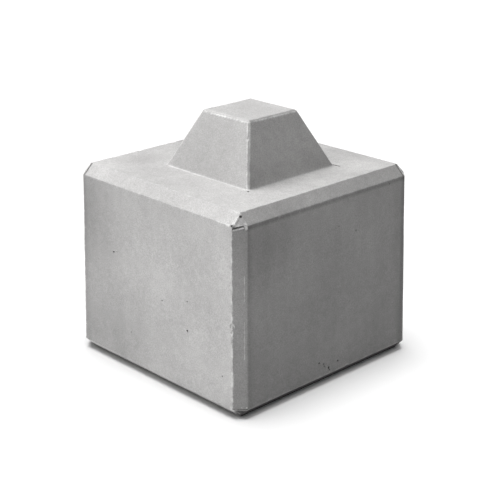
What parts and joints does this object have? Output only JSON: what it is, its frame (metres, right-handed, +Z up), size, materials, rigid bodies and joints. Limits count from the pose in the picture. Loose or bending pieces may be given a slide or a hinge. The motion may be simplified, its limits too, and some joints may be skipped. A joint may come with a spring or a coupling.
{
  "type": "concrete base block",
  "caption": "Square cast concrete base block with chamfered edges, faceted corners and a truncated pyramid stud on its shoulder.",
  "frame": {"origin": "middle of the flat underside, on the ground", "axes": "+Z up, +X square to one side face and the way the stud is set off the centre, +Y square to the next side face"},
  "size_m": [0.599, 0.599, 0.63],
  "materials": {
    "concrete": "smooth cast concrete, mid grey, with pale paste along the arrises, pin holes and faint upright streaks"
  },
  "bodies": {
    "root": {"base_block": "concrete"}
  },
  "joints": []
}
